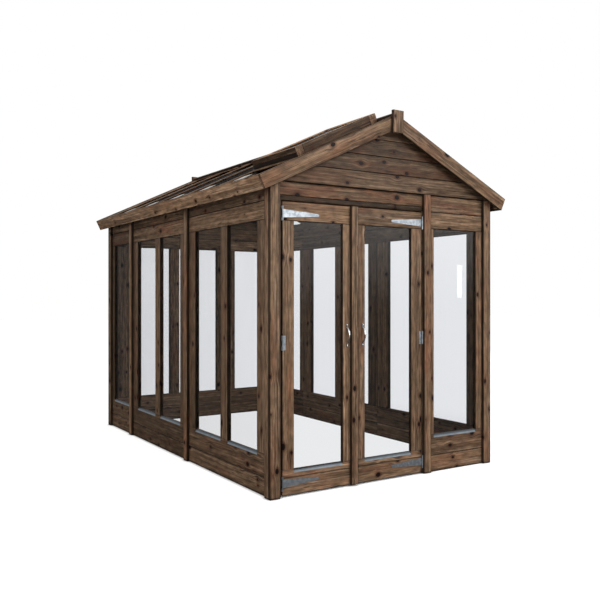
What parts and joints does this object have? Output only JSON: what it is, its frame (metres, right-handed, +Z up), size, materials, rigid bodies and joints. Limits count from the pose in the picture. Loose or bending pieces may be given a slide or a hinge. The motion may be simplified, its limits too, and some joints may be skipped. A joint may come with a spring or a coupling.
{
  "type": "greenhouse",
  "caption": "Apex timber greenhouse with a glazed pitched roof, a raised roof vent, tall side windows and a pair of hinged glazed doors on tapered strap hinges.",
  "frame": {"origin": "on the ground, in the middle of the footprint", "axes": "+X to the right for someone facing the doors from outside, +Y from the doors to the rear wall, +Z up"},
  "size_m": [2.013, 3.122, 2.3834],
  "materials": {
    "stained_softwood": "sawn and planed pine with a brown pressure-treatment stain",
    "clear_glass": "clear float glass",
    "galvanised_steel": "bright zinc plated sheet steel",
    "chromed_steel": "polished chrome plate"
  },
  "bodies": {
    "building": {"left_wall_front_panel": "stained_softwood", "left_wall_middle_panel": "stained_softwood", "left_wall_rear_panel": "stained_softwood", "right_wall_front_panel": "stained_softwood", "right_wall_middle_panel": "stained_softwood", "right_wall_rear_panel": "stained_softwood", "left_wall_glass": "clear_glass", "right_wall_glass": "clear_glass", "rear_wall_double_panel": "stained_softwood", "rear_wall_single_panel": "stained_softwood", "rear_wall_glass": "clear_glass", "front_window_panel": "stained_softwood", "front_window_glass": "clear_glass", "corner_posts": "stained_softwood", "corner_trims": "stained_softwood", "front_joint_batten": "stained_softwood", "rear_joint_batten": "stained_softwood", "side_joint_battens": "stained_softwood", "left_door_jamb": "stained_softwood", "right_door_jamb": "stained_softwood", "door_head": "stained_softwood", "front_gable_boards": "stained_softwood", "front_gable_frame": "stained_softwood", "rear_gable_boards": "stained_softwood", "rear_gable_frame": "stained_softwood", "ridge_beam": "stained_softwood", "ridge_capping": "stained_softwood", "left_roof_frame": "stained_softwood", "right_roof_frame": "stained_softwood", "left_roof_glass": "clear_glass", "right_roof_glass": "clear_glass", "roof_vent_frame": "stained_softwood", "roof_vent_glass": "clear_glass", "front_left_bargeboard": "stained_softwood", "front_right_bargeboard": "stained_softwood", "rear_left_bargeboard": "stained_softwood", "rear_right_bargeboard": "stained_softwood", "left_eave_fascia": "stained_softwood", "right_eave_fascia": "stained_softwood", "front_finial": "stained_softwood", "rear_finial": "stained_softwood", "left_hinge_jamb_leaves": "galvanised_steel", "right_hinge_jamb_leaves": "galvanised_steel"},
    "left_door": {"left_door_frame": "stained_softwood", "left_door_glass": "clear_glass", "door_closing_strip": "stained_softwood", "left_door_handle": "chromed_steel", "left_hinge_door_leaves": "galvanised_steel"},
    "right_door": {"right_door_frame": "stained_softwood", "right_door_glass": "clear_glass", "right_door_handle": "chromed_steel", "right_hinge_door_leaves": "galvanised_steel"}
  },
  "joints": [
    {"name": "left_door_hinge", "type": "hinge", "parent": "building", "child": "left_door", "pos_m": [-0.8155, -1.478, 0.91], "axis": [0, 0, -1], "range_deg": [0, 110]},
    {"name": "right_door_hinge", "type": "hinge", "parent": "building", "child": "right_door", "pos_m": [0.2755, -1.478, 0.91], "axis": [0, 0, 1], "range_deg": [0, 110]}
  ]
}
